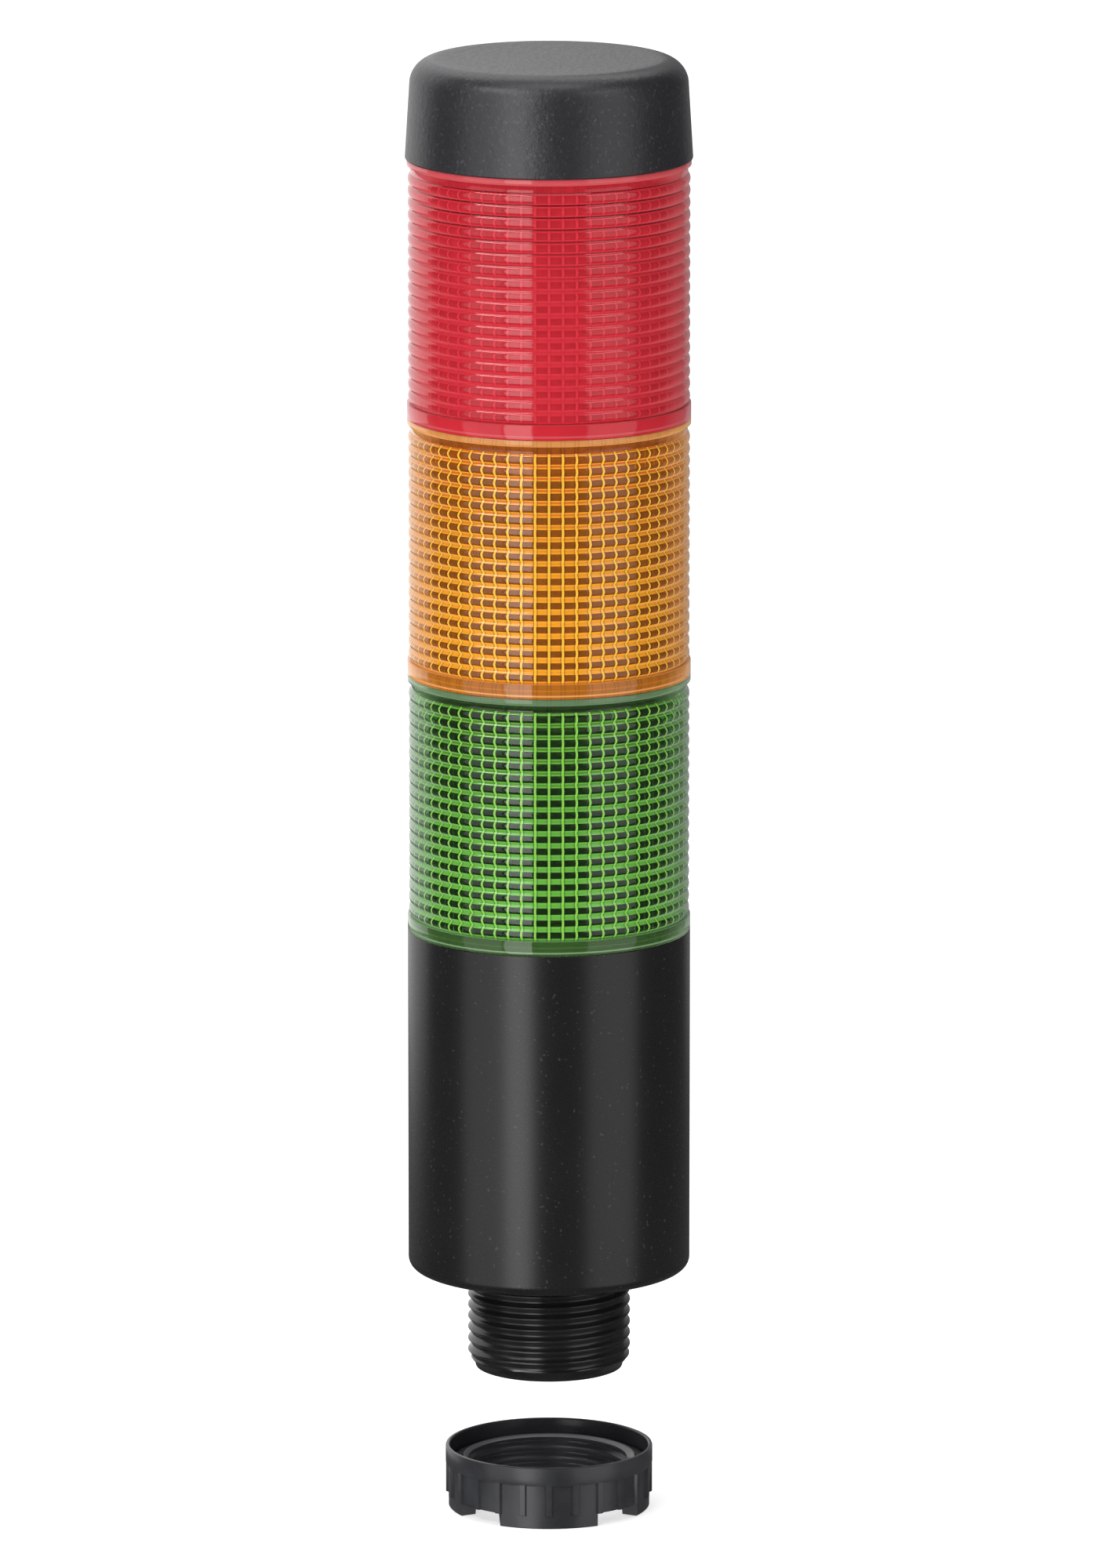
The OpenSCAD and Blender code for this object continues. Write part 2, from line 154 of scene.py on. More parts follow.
class TowerColours(bpy.types.PropertyGroup):
    """Colours of the finishes"""

    cap: colour("Cap", (0.0150, 0.0147, 0.0180), "Matte cap moulding")
    base: colour("Base", (0.0088, 0.0086, 0.0092), "Satin base moulding")
    stem: colour("Stem", (0.011, 0.0108, 0.011), "Glossy stem moulding")
    nut: colour("Nut", (0.030, 0.031, 0.035), "Dark grey nut moulding")
    red: colour("Red", (0.56, 0.021, 0.034), "Cloudy body of the red lens")
    red_clear: colour("Clear red", (0.80, 0.030, 0.045), "Tint of light through the red lens")
    amber: colour("Amber", (0.66, 0.21, 0.020), "Cloudy body of the amber lens")
    amber_clear: colour("Clear amber", (0.85, 0.34, 0.06), "Tint of light through the amber lens")
    green: colour("Green", (0.09, 0.22, 0.050), "Cloudy body of the green lens")
    green_clear: colour("Clear green", (0.20, 0.46, 0.16), "Tint of light through the green lens")
    rubber: colour("Rubber", (0.012, 0.012, 0.012), "Seal rubber")
    frame: colour("Frame", (0.010, 0.010, 0.011), "Frame inside the lenses")
    board: colour("Board", (0.008, 0.012, 0.010), "Solder mask of the board")


def sizes():
    return bpy.context.scene.tower_sizes


def colours():
    return bpy.context.scene.tower_colours


# ---------------------------------------------------------------- shapes


def rounded(corners, steps=5):
    """Points of a closed profile from (radius, height, rounding) corners."""
    out = []
    count = len(corners)
    for i, (x, y, r) in enumerate(corners):
        here = np.array([x, y])
        if r <= 0:
            out.append(here)
            continue
        before = np.array(corners[i - 1][:2]) - here
        after = np.array(corners[(i + 1) % count][:2]) - here
        before_len = np.linalg.norm(before)
        after_len = np.linalg.norm(after)
        before, after = before / before_len, after / after_len
        turn = math.acos(max(-1.0, min(1.0, float(before @ after))))
        if turn > math.pi - 0.02:  # nearly straight, so there is no corner to round
            out.append(here)
            continue
        back = min(r / math.tan(turn / 2), before_len * 0.499, after_len * 0.499)
        r = back * math.tan(turn / 2)
        middle = here + (before + after) / np.linalg.norm(before + after) * r / math.sin(turn / 2)
        first = here + before * back - middle
        last = here + after * back - middle
        sweep = math.acos(max(-1.0, min(1.0, float(first @ last) / (r * r))))
        for k in range(steps + 1):
            t = k / steps
            w = (math.sin((1 - t) * sweep) * first + math.sin(t * sweep) * last) / math.sin(sweep)
            out.append(middle + w)
    return np.array(out)


def tidy_loop(points, closest=1e-4):
    """Drops points of a closed profile that lie on the one before."""
    keep = [points[0]]
    for p in points[1:]:
        if np.linalg.norm(p - keep[-1]) > closest:
            keep.append(p)
    if np.linalg.norm(keep[0] - keep[-1]) < closest:
        keep.pop()
    return np.array(keep)


def add_mesh(name, verts_mm, faces, sharp_deg=35.0):
    """A smooth-shaded object from points in millimetres."""
    mesh = bpy.data.meshes.new(name)
    mesh.from_pydata((np.asarray(verts_mm) * MM).tolist(), [], faces)
    mesh.validate()
    mesh.polygons.foreach_set("use_smooth", [True] * len(mesh.polygons))
    mesh.set_sharp_from_angle(angle=math.radians(sharp_deg))
    mesh.update()
    piece = bpy.data.objects.new(name, mesh)
    bpy.context.scene.collection.objects.link(piece)
    return piece


def wrapped(angles, radii, heights):
    """Points and faces of a skin whose profile loop (rows) closes, carried round all angles."""
    rows, cols = radii.shape
    x = radii * np.cos(angles)
    y = radii * np.sin(angles)
    verts = np.stack([x, y, heights], axis=-1).reshape(-1, 3)
    k = np.arange(rows)[:, None]
    n = np.arange(cols)[None, :]
    k2 = (k + 1) % rows
    n2 = (n + 1) % cols
    faces = np.stack(
        [k * cols + n, k * cols + n2, k2 * cols + n2, k2 * cols + n], axis=-1
    ).reshape(-1, 4)
    return verts, faces.tolist()


def turned(name, profile, segments):
    """A ring turned from a closed profile that runs counter-clockwise in (radius, height)."""
    angles = np.linspace(0, TAU, segments, endpoint=False)
    radii = np.repeat(profile[:, :1], segments, axis=1)
    heights = np.repeat(profile[:, 1:], segments, axis=1)
    verts, faces = wrapped(angles, radii, heights)
    return add_mesh(name, verts, faces)


# ---------------------------------------------------------------- materials


class Value:
    """A socket that takes part in shader maths."""

    def __init__(self, build, socket):
        self.build, self.socket = build, socket

    def maths(self, operation, *others):
        inputs = {i: other for i, other in enumerate((self,) + others)}
        return self.build.node("ShaderNodeMath", {"operation": operation}, inputs)

    def reverse(self, operation, other):
        return self.build.node("ShaderNodeMath", {"operation": operation}, {0: other, 1: self})

    def __add__(self, other):
        return self.maths("ADD", other)

    __radd__ = __add__

    def __mul__(self, other):
        return self.maths("MULTIPLY", other)

    __rmul__ = __mul__

    def __sub__(self, other):
        return self.maths("SUBTRACT", other)

    def __rsub__(self, other):
        return self.reverse("SUBTRACT", other)

    def __truediv__(self, other):
        return self.maths("DIVIDE", other)

    def __pow__(self, other):
        return self.maths("POWER", other)

    def __rpow__(self, other):
        return self.reverse("POWER", other)

    def __rtruediv__(self, other):
        return self.reverse("DIVIDE", other)

    def __abs__(self):
        return self.maths("ABSOLUTE")

    def __mod__(self, other):
        return self.maths("FLOORED_MODULO", other)

    def above(self, other):
        return self.maths("MAXIMUM", other)

    def below(self, other):
        return self.maths("MINIMUM", other)


class Finish:
    """Builds one material out of nodes."""

    def __init__(self, name):
        self.material = bpy.data.materials.new(name)
        self.material.use_nodes = True
        self.tree = self.material.node_tree
        self.shader = self.tree.nodes["Principled BSDF"]

    def node(self, kind, settings=None, inputs=None, out=0):
        made = self.tree.nodes.new(kind)
        for key, value in (settings or {}).items():
            if key == "stops":
                ramp = made.color_ramp
                for i, (place, shade) in enumerate(value):
                    stop = ramp.elements[i] if i < 2 else ramp.elements.new(place)
                    stop.position, stop.color = place, (*shade, 1.0)
            else:
                setattr(made, key, value)
        for key, value in (inputs or {}).items():
            self.feed(made.inputs[key], value)
        return Value(self, made.outputs[out])

    def feed(self, socket, value):
        if isinstance(value, Value):
            self.tree.links.new(value.socket, socket)
        elif isinstance(value, (tuple, list)) and len(value) == 3 and socket.type == "RGBA":
            socket.default_value = (*value, 1.0)
        else:
            socket.default_value = value

    def axes(self):
        """Object position along each axis, in millimetres."""
        where = self.node("ShaderNodeTexCoord", out="Object")
        return [
            self.node("ShaderNodeSeparateXYZ", None, {0: where}, out=i) * 1000.0 for i in range(3)
        ]

    def facing(self):
        """0 where the surface faces the eye, 1 where it turns away."""
        return self.node("ShaderNodeLayerWeight", None, {"Blend": 0.5}, out="Facing")

    def layered(self, amount, first, second):
        """One shader over another, sent to the output in the first one's place."""
        mix = self.node("ShaderNodeMixShader", None, {0: amount, 1: first, 2: second})
        self.feed(self.tree.nodes["Material Output"].inputs["Surface"], mix)
        return self.material

    def place(self, stretch=(1.0, 1.0, 1.0)):
        """Object position, in metres, stretched along its axes."""
        where = self.node("ShaderNodeTexCoord", out="Object")
        return self.node("ShaderNodeMapping", None, {"Vector": where, "Scale": stretch})

    def noise(self, scale, detail=2.0, rough=0.5, stretch=(1.0, 1.0, 1.0)):
        inputs = {"Vector": self.place(stretch), "Scale": scale, "Detail": detail}
        inputs["Roughness"] = rough
        return self.node("ShaderNodeTexNoise", None, inputs, out="Fac")

    def between(self, value, low, high):
        """0 below low, 1 above high."""
        return self.node(
            "ShaderNodeMapRange", {"clamp": True},
            {"Value": value, "From Min": low, "From Max": high},
        )

    def mixed(self, amount, first, second):
        return self.node(
            "ShaderNodeMix", {"data_type": "RGBA"}, {0: amount, 6: first, 7: second}, out=2
        )

    def bump(self, height, strength, distance_mm):
        inputs = {"Height": height, "Strength": strength, "Distance": distance_mm * MM}
        return self.node("ShaderNodeBump", None, inputs)

    def done(self, **inputs):
        for key, value in inputs.items():
            self.feed(self.shader.inputs[key.replace("_", " ")], value)
        return self.material


def shade(rgb, gain):
    return tuple(min(1.0, c * gain) for c in rgb)


def cap_finish():
    """Matte black moulding with a fine grain eroded by sparks; bright flecks in its colour are
    painted glints.
    """
    f = Finish("cap_matte_black")
    grain = f.noise(1350.0, 3.0, 0.65)
    broad = f.noise(120.0, 2.0)
    # Painted glints: bright flecks mixed into the colour stand in for the sparkle of the grain.
    glint_flecks = f.between(f.noise(2100.0, 1.0, 0.5), 0.62, 0.74)
    rgb = tuple(colours().cap)
    body = f.mixed(f.between(broad, 0.35, 0.65), shade(rgb, 0.88), shade(rgb, 1.12))
    return f.done(
        Base_Color=f.mixed(glint_flecks * 0.55, body, shade(rgb, 4.2)),
        Roughness=0.32 + 0.12 * grain,
        Normal=f.bump(grain, 0.78, 0.07),
        Specular_IOR_Level=0.75,
    )


def base_finish():
    """Satin black tube with faint turning lines and a few specks."""
    f = Finish("base_satin_black")
    lines = f.noise(1.0, 3.0, 0.6, (60.0, 60.0, 5200.0))
    grain = f.noise(3800.0, 2.0)
    specks = f.between(f.noise(2300.0, 0.0), 0.775, 0.80)
    rgb = tuple(colours().base)
    body = f.mixed(f.between(f.noise(90.0, 3.0), 0.3, 0.7), shade(rgb, 0.9), shade(rgb, 1.12))
    height = lines * 0.6 + grain * 0.4
    return f.done(
        Base_Color=f.mixed(specks * 0.6, body, shade(rgb, 6.0)),
        Roughness=0.245 + 0.015 * lines + 0.05 * grain,
        Normal=f.bump(height, 0.03, 0.02),
    )


def moulded_finish(name, rgb, rough, grain_scale=2400.0, strength=0.2):
    """Plain moulded plastic with a slight grain and uneven gloss."""
    f = Finish(name)
    grain = f.noise(grain_scale, 2.0, 0.55)
    broad = f.between(f.noise(220.0, 3.0), 0.3, 0.7)
    return f.done(
        Base_Color=f.mixed(broad, shade(rgb, 0.8), shade(rgb, 1.25)),
        Roughness=(rough - 0.04) + 0.08 * broad,
        Normal=f.bump(grain, strength, 0.03),
    )


LENS_LOOKS = {
    # painted light in the rib valleys, painted light on the flute lines, painted pale reflection
    # at the edge, painted refracted view of the next spigot up, haze, grid contrast
    "red": (
        (0.64, 0.032, 0.048), (0.62, 0.030, 0.050), (0.60, 0.130, 0.140), (0.05, 0.002, 0.004),
        0.80, 0.22,
    ),
    "amber": (
        (0.88, 0.36, 0.024), (1.0, 0.56, 0.060), (0.80, 0.40, 0.150), (0.76, 0.10, 0.018),
        0.28, 0.85,
    ),
    "green": (
        (0.14, 0.45, 0.058), (0.26, 0.62, 0.085), (0.27, 0.37, 0.250), (0.09, 0.17, 0.012),
        0.07, 1.0,
    ),
}


def lens_colours(name):
    """The cloudy body and the clear tint of one lens."""
    c = colours()
    pairs = {
        "red": (c.red, c.red_clear),
        "amber": (c.amber, c.amber_clear),
        "green": (c.green, c.green_clear),
    }
    return [tuple(value) for value in pairs[name]]


def lens_finish(name, z0):
    """Clear tinted plastic with painted light: the light that gathers in the rib valleys and along
    the flutes behind them is painted as cloudy lines.
    """
    line, upright, pale, above, haze, grid = LENS_LOOKS[name]
    cloud, tint = lens_colours(name)
    s = sizes()
    f = Finish("clear_" + name)
    x, y, z = f.axes()
    radius = (x * x + y * y) ** 0.5
    top = z0 + TIER_H
    ribs_low, ribs_top = z0 + s.band_h, top - s.lip_h - s.neck_h
    turns = (z - ribs_low) * (s.rib_count / (ribs_top - ribs_low))
    sway = (turns * TAU).maths("COSINE") * (x / radius) * 0.10
    around = y.maths("ARCTAN2", x) * (s.flute_count / TAU) + sway
    lower = f.between(z, ribs_top - 2.0, ribs_low + 8.0)
    up = abs(turns % 1.0 - 0.5) * 2.0 + 0.10 * lower
    across = abs(around % 1.0 - 0.5) * 2.0
    outer = f.between(radius, 17.0, 17.2)
    ribbed = f.between(z, ribs_low - 0.06, ribs_low) * f.between(z, ribs_top + 0.06, ribs_top)
    wave = f.noise(190.0, 2.0)
    fleck = f.noise(1.0, 2.0, 0.6, (900.0, 900.0, 260.0))
    # Painted light: the bars in the rib valleys and the stripes along the flutes are cloudy lines
    # standing in for light the ribs and flutes gather.
    bar = f.between(up, 0.60, 0.67)
    # Painted shade: the middle of each bar darkens, fading out toward the foot.
    bar_core_shade = f.between(up, 0.76, 0.86) * (1.0 - lower)
    stripe = f.between(across, 0.79, 0.86)
    # Painted shade: thin dark lines either side of each flute stripe, where the haze also thins.
    flute_side_shade = f.between(across, 0.60, 0.69) * (1.0 - stripe) * grid
    lines = bar.above(stripe * 0.9) * outer * ribbed
    lip = f.between(z, top - s.lip_h - 0.1, top - s.lip_h) * outer
    band = f.between(z, ribs_low, ribs_low - 0.06) * outer
    # Painted highlights: two thin lighter lines on the plain band at the foot.
    foot_highlight = f.between(abs(z - (z0 + 0.45)), 0.17, 0.07) * band
    band_highlight = f.between(abs(z - (z0 + 1.15)), 0.16, 0.06) * band * 0.5
    # Painted reflection: the outer wall turns cloudier and pale where it turns away from the eye.
    edge = f.between(f.facing(), 0.40, 0.85) * outer
    drawn = lines.above(lip * 0.55).above(band * 0.30).above(foot_highlight * 0.9).above(band_highlight)
    amount = (drawn + haze * (1.0 - 0.6 * flute_side_shade) * (0.8 + 0.4 * fleck) + edge * 0.6).below(1.0)
    # Painted refraction: near the top the bar cores take the colour of the next spigot up, seen
    # through the wall.
    spigot_view_zone = f.between(z, top - 15.0, top - 5.0)
    bars = f.mixed(bar_core_shade * 0.55 * grid, line, shade(line, 0.40))
    bars = f.mixed(spigot_view_zone * f.between(up, 0.84, 0.91) * 0.85, bars, above)
    strokes = f.mixed(stripe * grid, f.mixed(flute_side_shade * 0.65, bars, shade(line, 0.28)), upright)
    body = f.mixed(lines, f.mixed(wave, shade(cloud, 0.85), shade(cloud, 1.15)), strokes)
    # The lip and the foot highlight are painted halfway toward the pale reflection colour.
    body = f.mixed(lip.above(foot_highlight) * 0.5, body, pale)
    ripple = f.bump(f.noise(420.0, 2.0), 0.05, 0.05)
    rough = 0.045 + 0.05 * f.between(f.noise(1500.0, 1.0), 0.70, 0.80)
    f.done(
        Base_Color=f.mixed(wave, shade(tint, 0.97), shade(tint, 1.03)),
        Roughness=rough, Transmission_Weight=1.0, IOR=1.12, Normal=ripple,
        Coat_Weight=1.0, Coat_Roughness=0.04, Coat_IOR=1.5,
    )
    # The cloudy layer turns to the painted pale reflection colour at the edge.
    cloudy = f.node("ShaderNodeBsdfPrincipled", None, {
        "Base Color": f.mixed(edge, body, pale), "Roughness": rough + 0.03,
        "IOR": 1.5, "Normal": ripple,
    })
    return f.layered(amount, Value(f, f.shader.outputs[0]), cloudy)


def metal_finish(name, rgb, rough):
    """Bare metal with fine scuffs."""
    f = Finish(name)
    scuff = f.noise(900.0, 4.0, 0.6, (1.0, 1.0, 4.0))
    return f.done(
        Base_Color=f.mixed(f.between(scuff, 0.3, 0.7), shade(rgb, 0.85), rgb),
        Metallic=1.0,
        Roughness=rough + 0.15 * scuff,
        Normal=f.bump(scuff, 0.12, 0.02),
    )


def board_finish():
    """Dark solder mask with faint copper tracks under it."""
    f = Finish("board_mask")
    rgb = tuple(colours().board)
    wave = f.node(
        "ShaderNodeTexWave", {"wave_type": "BANDS", "bands_direction": "X"},
        {"Vector": f.place(), "Scale": 260.0, "Distortion": 3.0, "Detail": 1.0}, out="Fac",
    )
    track = f.between(wave, 0.62, 0.70)
    weave = f.noise(2200.0, 2.0)
    return f.done(
        Base_Color=f.mixed(track * 0.6, rgb, shade(rgb, 1.9)),
        Roughness=0.34 + 0.1 * weave,
        Normal=f.bump(track * 0.7 + weave * 0.3, 0.15, 0.03),
    )


def lamp_finish(name, glow):
    """Lamp package in the given colour, with a faint speckled tone."""
    f = Finish(name)
    speck = f.noise(1800.0, 2.0)
    return f.done(
        Base_Color=f.mixed(f.between(speck, 0.3, 0.7), shade(glow, 0.9), glow),
        Roughness=0.30 + 0.15 * speck,
        Normal=f.bump(speck, 0.1, 0.02),
    )


def dress(piece, material):
    piece.data.materials.clear()
    piece.data.materials.append(material)


def place_piece(piece, body, node, material):
    """Gives a new piece its material and body, and hides the node it stands for."""
    dress(piece, material)
    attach(piece, body)
    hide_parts(node)


LUG_COUNT = 3
LUG_DEG = 9.0
LUG_H = 1.5
LUG_LIFT = 0.4
LUG_REACH = 0.5
LUG_GAP = 0.2
TWIST_DEG = 15.0
WAY_DEG = LUG_DEG + 2
RUN_DEG = LUG_DEG + TWIST_DEG + 3
FIRST_SLOT_DEG = -66.4
OTHER_SLOTS_TURN_DEG = 36.4
SEAL_SEAT_H = 0.7


def span_mask(angles, middle_deg, wide_deg, count):
    """True where an angle lies within one of count equal spans round the axis."""
    every = 360.0 / count
    away = (np.degrees(angles) - middle_deg + every / 2) % every - every / 2
    return np.abs(away) <= wide_deg / 2


def slot_direction(tier):
    """Way into the slots under a tier, in degrees; only those on the green tier's top differ."""
    return FIRST_SLOT_DEG + (0.0 if tier == 1 else OTHER_SLOTS_TURN_DEG)


def spigot_rows(z0, tier, angles):
    """Rows down the outside of a spigot, with its lugs, then up its inside."""
    s = sizes()
    r_out, r_in, low = s.spigot_r, s.spigot_in, z0 - SPIGOT_H
    lug_low = z0 - (SPIGOT_H - LUG_LIFT)
    lug_top = lug_low + LUG_H
    lug = span_mask(angles, slot_direction(tier) - TWIST_DEG, LUG_DEG, LUG_COUNT)
    plain = np.full(angles.shape, r_out)
    out = np.where(lug, s.bore_r + LUG_REACH, r_out)
    return [
        (plain, z0), (plain, lug_top + 0.02), (out, lug_top), (out, lug_low),
        (plain, lug_low - 0.02), (plain, low + 0.15), (plain - 0.15, low),
        (plain * 0 + r_in + 0.15, low), (plain * 0 + r_in, low + 0.15),
    ]


def socket_rows(top, tier, angles):
    """Rows of the bore that takes a spigot, with its L-shaped slots, from above downward."""
    s = sizes()
    lug_low = top - (SPIGOT_H - LUG_LIFT)
    run_low = lug_low - LUG_GAP
    run_top = lug_low + LUG_H + LUG_GAP
    way = slot_direction(tier)
    run = span_mask(angles, way - TWIST_DEG / 2, RUN_DEG, LUG_COUNT)
    entry = span_mask(angles, way, WAY_DEG, LUG_COUNT)
    bore = np.full(angles.shape, s.bore_r)
    deep = s.bore_r + LUG_REACH + LUG_GAP
    in_run = np.where(run, deep, bore)
    in_way = np.where(entry, deep - LUG_GAP / 2, bore)
    seat = s.spigot_r + 0.7
    seat_z = top - SEAL_SEAT_H
    rows = [
        (bore, run_low - 0.02), (in_run, run_low), (in_run, run_top), (in_way, run_top + 0.02),
        (in_way, seat_z - 0.02), (np.maximum(in_way, seat), seat_z),
        (np.maximum(in_way, seat), top),
    ]
    return rows[::-1]


def level(rows, angles):
    """Rows of one radius and one height each, spread over all angles."""
    return [(np.full(angles.shape, r), z) for r, z in rows]


def stacked(rows, angles):
    """Radii and heights of all rows as two tables."""
    radii = np.array([np.broadcast_to(r, angles.shape) for r, _ in rows])
    heights = np.array([np.broadcast_to(z, angles.shape) for _, z in rows], dtype=float)
    return radii, heights


def skin(name, rows, angles, sharp_deg=35.0):
    """A piece from rows that run round its section and close."""
    verts, faces = wrapped(angles, *stacked(rows, angles))
    return add_mesh(name, verts, faces, sharp_deg)


def directions(count, edges):
    """Evenly spaced angles with extra ones at the edges of lugs, slots or ribs."""
    even = np.linspace(0, TAU, count, endpoint=False)
    return np.unique(np.round(np.concatenate([even, edges]), 6))


def slot_edges(tiers):
    """Extra directions just either side of each lug and slot edge, in radians."""
    edges = []
    for tier in tiers:
        way = slot_direction(tier)
        spans = [
            (way - TWIST_DEG, LUG_DEG), (way - TWIST_DEG / 2, RUN_DEG), (way, WAY_DEG),
        ]
        for middle, wide in spans:
            for lug in range(LUG_COUNT):
                for side in (-0.5, 0.5):
                    for nudge in (-0.06, 0.06):
                        edges.append(middle + lug * (360.0 / LUG_COUNT) + side * wide + nudge)
    return np.radians(np.array(edges)) % TAU


# ---------------------------------------------------------------- operators


class TOWER_OT_cap(bpy.types.Operator):
    """Cap with its shoulder, faint dish and spigot"""

    bl_idname = "tower.cap"
    bl_label = "Cap"

    def execute(self, context):
        s = sizes()
        top_r = CAP_R - s.cap_taper
        arc = s.cap_round
        shoulder = [
            (top_r - arc + arc * math.sin(t), CAP_TOP - arc + arc * math.cos(t))
            for t in np.linspace(0, math.pi / 2, 17)
        ]
        dish, wall = 0.12, 2.0
        outer = [(8.0, CAP_TOP - 0.10), (top_r - arc - 1.2, CAP_TOP - 0.03)]
        outer += shoulder[:-1] + list(rounded([
            (top_r, CAP_TOP - arc, 0), (CAP_R, CAP_Z, 0.18), (s.spigot_r + 0.05, CAP_Z, 0),
        ], 10))
        angles = directions(288, slot_edges([len(TIERS)]))
        rows = level(outer, angles) + spigot_rows(CAP_Z, len(TIERS), angles)
        inside = s.spigot_in
        ceiling = CAP_TOP - wall
        rows += level(((inside, ceiling - 1.0), (inside - 1.0, ceiling)), angles)
        radii, heights = stacked(rows, angles)
        count, cols = radii.shape
        verts = np.stack(
            [radii * np.cos(angles), radii * np.sin(angles), heights], axis=-1
        ).reshape(-1, 3)
        verts = np.vstack([verts, [[0, 0, CAP_TOP - dish], [0, 0, ceiling]]])
        n = np.arange(cols)
        n2 = (n + 1) % cols
        faces = []
        for k in range(count - 1):
            a, b = k * cols, (k + 1) * cols
            faces += np.stack([a + n, b + n, b + n2, a + n2], axis=-1).tolist()
        pole, roof, end = count * cols, count * cols + 1, (count - 1) * cols
        faces += [[pole, int(i), int(j)] for i, j in zip(n, n2)]
        faces += [[roof, end + int(j), end + int(i)] for i, j in zip(n, n2)]
        piece = add_mesh("cap_moulding", verts, faces)
        place_piece(piece, "cap_piece", "cap", cap_finish())
        return {"FINISHED"}


class TOWER_OT_lenses(bpy.types.Operator):
    """Three lens tiers, ribbed outside and fluted inside"""

    bl_idname = "tower.lenses"
    bl_label = "Lenses"

    def execute(self, context):
        s = sizes()
        for tier, name in enumerate(TIERS):
            z0 = BASE_TOP + tier * TIER_H
            piece = self.lens(s, name, tier, z0)
            node = "lens_" + name
            place_piece(piece, name + "_tier", node, lens_finish(name, z0))
        return {"FINISHED"}

    def lens(self, s, name, tier, z0):
        top = z0 + TIER_H
        angles = directions(s.flute_count * 6, slot_edges([tier, tier + 1]))
        crest = BODY_R - s.rib_inset
        ribs_low = z0 + s.band_h
        ribs_top = top - s.lip_h - s.neck_h
        pitch = (ribs_top - ribs_low) / s.rib_count
        rib_r = ((pitch / 2) ** 2 + s.rib_depth ** 2) / (2 * s.rib_depth)
        rows = [(s.spigot_r, z0)]
        rows += [(BODY_R - 0.15, z0), (BODY_R - 0.04, z0 + 0.04), (BODY_R, z0 + 0.15)]
        rows += [(BODY_R, ribs_low - 0.12), (BODY_R - 0.04, ribs_low - 0.03)]
        valley = crest - s.rib_depth
        steps = 10
        for i in range(s.rib_count):
            middle = ribs_low + (i + 0.5) * pitch
            for k in range(steps):
                off = (k / (steps - 1) - 0.5) * pitch * 0.985
                rows.append((crest - rib_r + math.sqrt(rib_r ** 2 - off ** 2), middle + off))
        neck = BODY_R - s.neck_depth
        rows += [(valley + 0.02, ribs_top), (neck, ribs_top + 0.1), (neck, top - s.lip_h - 0.08)]
        rows += [(neck + 0.08, top - s.lip_h), (BODY_R - 0.1, top - s.lip_h)]
        rows += [(BODY_R, top - s.lip_h + 0.1), (BODY_R, top - 0.15), (BODY_R - 0.1, top - 0.02)]
        rows = level(rows, angles) + socket_rows(top, tier + 1, angles)
        socket_z = top - SPIGOT_H - 0.6
        floor_z = z0 + 1.4
        flute = self.flute(s, angles)
        bore = np.full(angles.shape, s.bore_r)
        rows.append((bore, socket_z + 0.05))
        rows.append((flute, socket_z - 0.05))
        for z in np.linspace(socket_z - 0.5, floor_z + 0.5, 6):
            rows.append((flute, z))
        rows.append((flute, floor_z + 0.05))
        inside = np.full(angles.shape, s.spigot_in)
        rows.append((inside + 0.15, floor_z))
        rows.append((inside, floor_z - 0.15))
        rows += spigot_rows(z0, tier, angles)[1:][::-1]
        return skin("tier_" + name, rows, angles, 50.0)

    def flute(self, s, angles):
        """Radius of the fluted inside wall at each angle."""
        r = 1.1  # radius of one flute's hollow
        centre = s.bore_r + s.flute_depth - r
        step = TAU / s.flute_count
        away = (angles + step / 2) % step - step / 2
        across = centre * np.sin(away)
        return centre * np.cos(away) + np.sqrt(np.maximum(r * r - across ** 2, 0.0))


class TOWER_OT_seals(bpy.types.Operator):
    """Flat rubber rings between the tiers, under the base and in the nut"""

    bl_idname = "tower.seals"
    bl_label = "Seals"

    def execute(self, context):
        rubber = moulded_finish("seal_rubber", tuple(colours().rubber), 0.62, 1500.0, 0.3)
        rings = {
            "seal_green": "green_tier", "seal_amber": "amber_tier", "seal_red": "red_tier",
            "cap_seal": "cap_piece", "panel_seal": "base", "frame_cushion": "base",
            "nut_grip_ring": "nut_ring",
        }
        inner = {
            "panel_seal": 12.45, "frame_cushion": 12.8, "nut_grip_ring": 11.6,
        }
        for node, body in rings.items():
            low, high = node_box(node)
            r_out = float(high[0])
            r_in = inner.get(node, sizes().spigot_r + 0.05)
            edge = min(0.2, (high[2] - low[2]) * 0.3)
            loop = tidy_loop(rounded([
                (r_in, low[2], edge), (r_out, low[2], edge),
                (r_out, high[2], edge), (r_in, high[2], edge),
            ], 3))
            piece = turned(node + "_ring", loop, 160)
            place_piece(piece, body, node, rubber)
        return {"FINISHED"}


class TOWER_OT_base(bpy.types.Operator):
    """Base tube with its rounded foot"""

    bl_idname = "tower.base"
    bl_label = "Base"

    def execute(self, context):
        s = sizes()
        angles = directions(288, slot_edges([0]))
        hole, floor = 9.9, 3.0
        seal_in, seal_out, seal_deep = 12.4, 14.8, 1.0
        outer = rounded([
            (hole, 0.0, 0.15), (seal_in, 0.0, 0.05), (seal_in, seal_deep, 0),
            (seal_out, seal_deep, 0), (seal_out, 0.0, 0.05), (BODY_R, 0.0, s.foot_round),
            (BODY_R, BASE_TOP, 0.12), (s.spigot_r + 0.9, BASE_TOP, 0),
        ], 8)
        rows = level(outer, angles) + socket_rows(BASE_TOP, 0, angles)
        rows += level((
            (s.bore_r, 24.0), (s.bore_r, floor + 0.6), (s.bore_r - 0.6, floor), (hole, floor),
        ), angles)
        piece = skin("base_moulding", rows, angles)
        place_piece(piece, "base", "base_tube", base_finish())
        return {"FINISHED"}


def thread_form(turn, depth):
    """Radius taken off a crest at a place in the turn from 0 to 1: round crest, round root."""
    wave = 0.5 - 0.5 * np.cos(TAU * turn)
    return depth * wave ** 0.8


